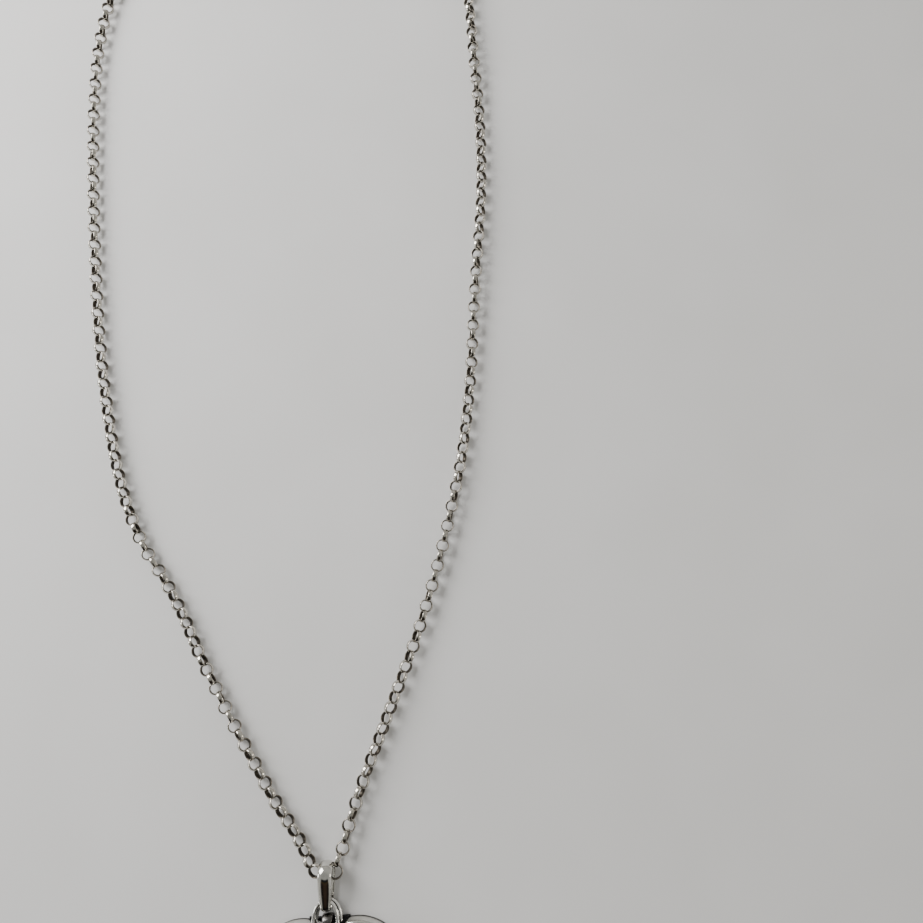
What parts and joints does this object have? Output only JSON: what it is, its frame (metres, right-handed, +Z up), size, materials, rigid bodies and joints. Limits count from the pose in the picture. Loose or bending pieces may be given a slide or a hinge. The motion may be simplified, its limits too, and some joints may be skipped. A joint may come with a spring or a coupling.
{
  "type": "pendant necklace",
  "caption": "Fastened round-link chain necklace with a teardrop bail, a split ring, a heart pendant with a blackened recess, and a lobster clasp.",
  "frame": {"origin": "centre of the heart's flat back, on the surface that the necklace lies on", "axes": "+Y from the heart towards the clasp, +Z up from the surface, +X to the right seen from above"},
  "size_m": [0.0876, 0.2558, 0.0046],
  "materials": {
    "polished_silver": "polished silver-tone metal with fine wear lines",
    "chain_silver": "silver-tone metal, tarnished darker where the links meet",
    "blackened": "black antiqued recess, satin",
    "spring_steel": "plain steel wire and rivet"
  },
  "bodies": {
    "chain": {"chain_left": "chain_silver", "chain_right": "chain_silver", "link_centre": "chain_silver", "link_left_1": "chain_silver", "link_left_2": "chain_silver", "link_left_3": "chain_silver", "link_left_4": "chain_silver", "link_left_5": "chain_silver", "link_left_6": "chain_silver", "link_left_7": "chain_silver", "link_left_8": "chain_silver", "link_left_end_1": "chain_silver", "link_left_end_2": "chain_silver", "link_left_end_3": "chain_silver", "link_right_1": "chain_silver", "link_right_2": "chain_silver", "link_right_3": "chain_silver", "link_right_4": "chain_silver", "link_right_5": "chain_silver", "link_right_6": "chain_silver", "link_right_7": "chain_silver", "link_right_8": "chain_silver", "link_right_end_1": "chain_silver", "link_right_end_2": "chain_silver", "link_right_end_3": "chain_silver", "jump_ring": "polished_silver"},
    "catch_ring": {"catch_ring": "polished_silver"},
    "clasp": {"clasp_body": "polished_silver", "clasp_rivet": "spring_steel", "clasp_spring": "spring_steel"},
    "lever": {"clasp_lever": "polished_silver"},
    "bail": {"bail": "polished_silver"},
    "ring": {"split_ring": "polished_silver"},
    "pendant": {"heart_frame": "polished_silver", "heart_ground": "blackened", "heart_dome": "polished_silver"}
  },
  "joints": [
    {"name": "bail_swing", "type": "hinge", "parent": "chain", "child": "bail", "pos_m": [-0.00132, 0.0206, 0.00218], "axis": [-1, 0, 0], "range_deg": [0, 110]},
    {"name": "ring_swing", "type": "hinge", "parent": "bail", "child": "ring", "pos_m": [-0.0011, 0.0158, 0.0015], "axis": [-1, 0, 0], "range_deg": [0, 20]},
    {"name": "pendant_swing", "type": "hinge", "parent": "ring", "child": "pendant", "pos_m": [-0.0011, 0.012, 0.0015], "axis": [-1, 0, 0], "range_deg": [0, 50]},
    {"name": "clasp_swing", "type": "hinge", "parent": "chain", "child": "clasp", "pos_m": [-0.017, 0.237, 0.0019], "axis": [0, 0, 1], "range_deg": [-2, 2]},
    {"name": "lever_open", "type": "hinge", "parent": "clasp", "child": "lever", "pos_m": [-0.0131, 0.2386, 0.0019], "axis": [0, 0, -1], "range_deg": [0, 16], "stiffness_Nm_per_rad": 0.0005},
    {"name": "catch_ring_roll", "type": "hinge", "parent": "chain", "child": "catch_ring", "pos_m": [-0.00555, 0.237, 0.0023], "axis": [1, 0, 0], "range_deg": [-8, 8]}
  ]
}
